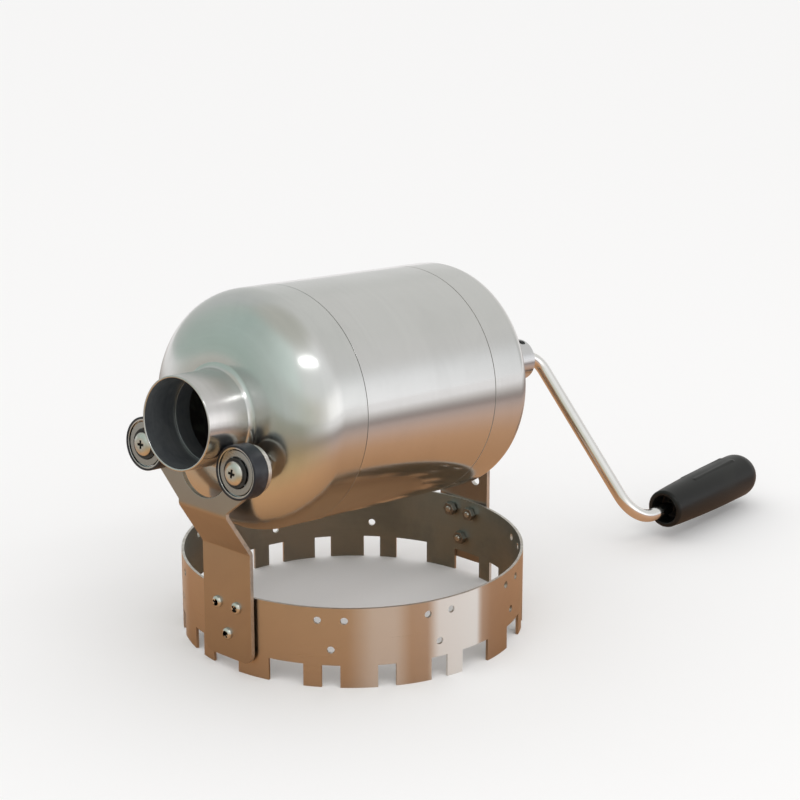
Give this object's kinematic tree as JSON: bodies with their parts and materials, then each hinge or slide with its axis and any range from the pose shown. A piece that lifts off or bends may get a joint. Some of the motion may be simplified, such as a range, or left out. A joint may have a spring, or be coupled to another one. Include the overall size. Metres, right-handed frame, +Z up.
{
  "type": "stovetop coffee bean roaster",
  "caption": "Hand cranked stovetop coffee bean roaster: steel drum with an open neck on two bearing rollers over a castellated foot ring, bent crank with a black grip.",
  "frame": {"origin": "middle of the foot ring on the plane that the ring stands on", "axes": "+Z up, +X towards the crank, -X towards the drum's mouth, +Y completes a right-handed frame"},
  "size_m": [0.3482, 0.15, 0.1621],
  "materials": {
    "ring_steel": "brushed",
    "bracket_steel": "brushed",
    "screw_steel": "polished",
    "bearing_steel": "ground",
    "shield_steel": "satin",
    "sleeve_black": "satin",
    "washer_black": "satin",
    "bush_steel": "turned",
    "front_cap_steel": "satin",
    "drum_steel": "brushed round the drum",
    "neck_steel": "brushed",
    "inner_steel": "dull",
    "hub_steel": "turned",
    "set_screw_black": "black oxide",
    "bush_bronze": "sintered",
    "rod_steel": "polished",
    "grip_black": "satin"
  },
  "bodies": {
    "stand": {"foot_ring": "ring_steel", "front_bracket": "bracket_steel", "rear_bracket": "bracket_steel", "front_bracket_screws": "screw_steel", "front_bracket_nuts": "screw_steel", "rear_bracket_screws": "screw_steel", "rear_bracket_nuts": "screw_steel", "rear_bush": "bush_bronze", "left_inner_race": "bearing_steel", "left_axle_bush": "bush_steel", "left_axle_washer": "washer_black", "left_axle_screw": "screw_steel", "left_axle_nut": "screw_steel", "right_inner_race": "bearing_steel", "right_axle_bush": "bush_steel", "right_axle_washer": "washer_black", "right_axle_screw": "screw_steel", "right_axle_nut": "screw_steel"},
    "drum": {"front_cap": "front_cap_steel", "drum_tube": "drum_steel", "rear_cap": "drum_steel", "neck_tube": "neck_steel", "stirring_vanes": "inner_steel", "drum_hub": "hub_steel", "hub_set_screw": "set_screw_black", "crank_rod": "rod_steel", "grip_push_nut": "screw_steel"},
    "grip": {"grip": "grip_black", "grip_end_plug": "grip_black"},
    "left_roller": {"left_outer_race": "bearing_steel", "left_roller_sleeve": "sleeve_black", "left_bearing_shields": "shield_steel"},
    "left_ball_set": {"left_bearing_balls": "bearing_steel", "left_ball_cage": "shield_steel"},
    "right_roller": {"right_outer_race": "bearing_steel", "right_roller_sleeve": "sleeve_black", "right_bearing_shields": "shield_steel"},
    "right_ball_set": {"right_bearing_balls": "bearing_steel", "right_ball_cage": "shield_steel"}
  },
  "joints": [
    {"name": "drum_spin", "type": "hinge", "parent": "stand", "child": "drum", "pos_m": [0, 0, 0.1057], "axis": [0.9945, 0, -0.1045], "continuous": true},
    {"name": "left_roller_spin", "type": "hinge", "parent": "stand", "child": "left_roller", "pos_m": [-0.09264, 0.02662, 0.09967], "axis": [0.9945, 0, -0.1045], "continuous": true},
    {"name": "left_ball_set_spin", "type": "hinge", "parent": "stand", "child": "left_ball_set", "pos_m": [-0.09264, 0.02662, 0.09967], "axis": [0.9945, 0, -0.1045], "continuous": true},
    {"name": "right_roller_spin", "type": "hinge", "parent": "stand", "child": "right_roller", "pos_m": [-0.09264, -0.02662, 0.09967], "axis": [0.9945, 0, -0.1045], "continuous": true},
    {"name": "right_ball_set_spin", "type": "hinge", "parent": "stand", "child": "right_ball_set", "pos_m": [-0.09264, -0.02662, 0.09967], "axis": [0.9945, 0, -0.1045], "continuous": true},
    {"name": "grip_spin", "type": "hinge", "parent": "drum", "child": "grip", "pos_m": [0.19803, -0.04501, 0.01519], "axis": [0.9983, 0.056, -0.0182], "continuous": true}
  ],
  "couplings": [
    {"joint": "left_roller_spin", "follows": "drum_spin", "ratio": -1.7333},
    {"joint": "left_ball_set_spin", "follows": "drum_spin", "ratio": -1.0881},
    {"joint": "right_roller_spin", "follows": "drum_spin", "ratio": -1.7333},
    {"joint": "right_ball_set_spin", "follows": "drum_spin", "ratio": -1.0881}
  ]
}
